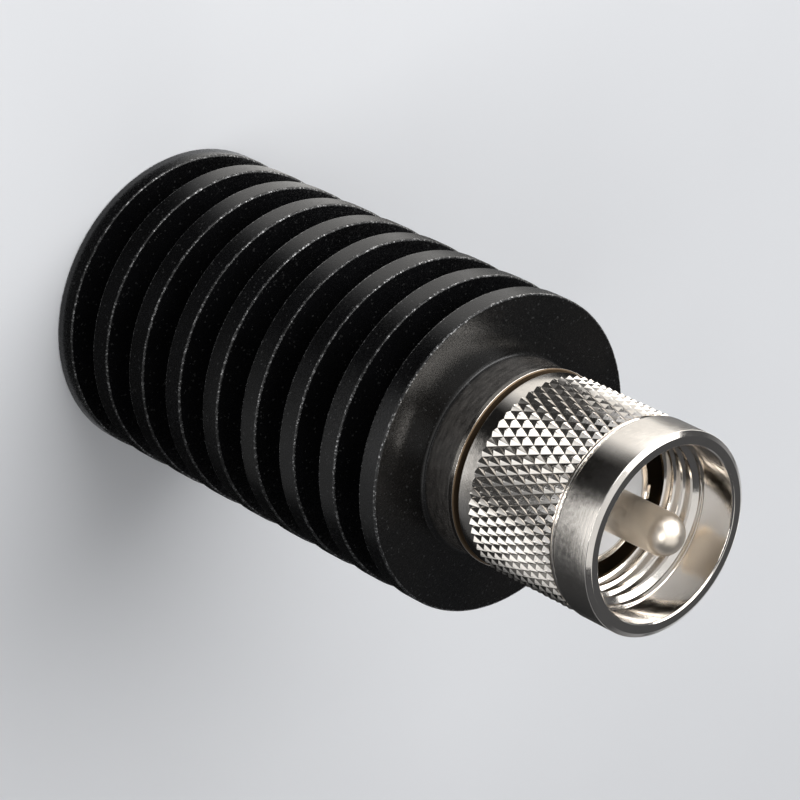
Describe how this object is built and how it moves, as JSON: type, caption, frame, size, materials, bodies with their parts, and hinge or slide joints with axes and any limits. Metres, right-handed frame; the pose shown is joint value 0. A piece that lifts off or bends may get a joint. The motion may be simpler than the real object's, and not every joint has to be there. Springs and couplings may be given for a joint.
{
  "type": "coaxial terminator",
  "caption": "Finned cylindrical coaxial dummy load with a screw-on plug: knurled coupling nut, centre pin and PTFE insulator.",
  "frame": {"origin": "centre of the flat rear face, on which the part stands", "axes": "+Z along the common axis towards the plug's pin; +X through one of the two locating teeth"},
  "size_m": [0.03, 0.03, 0.0675],
  "materials": {
    "black_anodised": "bead blasted and black anodised aluminium",
    "plug_nickel": "bright nickel plating on brass",
    "nut_nickel": "bright nickel plating on brass",
    "spring_bronze": "plain spring bronze",
    "ptfe": "white PTFE",
    "pin_metal": "satin plating with a warm tone",
    "resistor_ceramic": "fired ceramic with a resistive film",
    "cap_plating": "tin plated",
    "sleeve_aluminium": "turned",
    "contact_brass": "turned brass"
  },
  "bodies": {
    "load": {"heat_sink": "black_anodised", "connector_body": "plug_nickel", "front_insulator": "ptfe", "rear_insulator": "ptfe", "centre_pin": "pin_metal", "load_rod": "resistor_ceramic", "front_cap": "cap_plating", "rear_cap": "cap_plating", "outer_sleeve": "sleeve_aluminium", "ground_contact": "contact_brass"},
    "ring": {"retaining_ring": "spring_bronze"},
    "nut": {"coupling_nut": "nut_nickel"}
  },
  "joints": [
    {"name": "nut_float", "type": "slide", "parent": "load", "child": "ring", "axis": [0, 0, 1], "range_m": [0, 0.0008]},
    {"name": "nut_turn", "type": "hinge", "parent": "ring", "child": "nut", "pos_m": [0, 0, 0.0577], "axis": [0, 0, 1], "continuous": true}
  ]
}
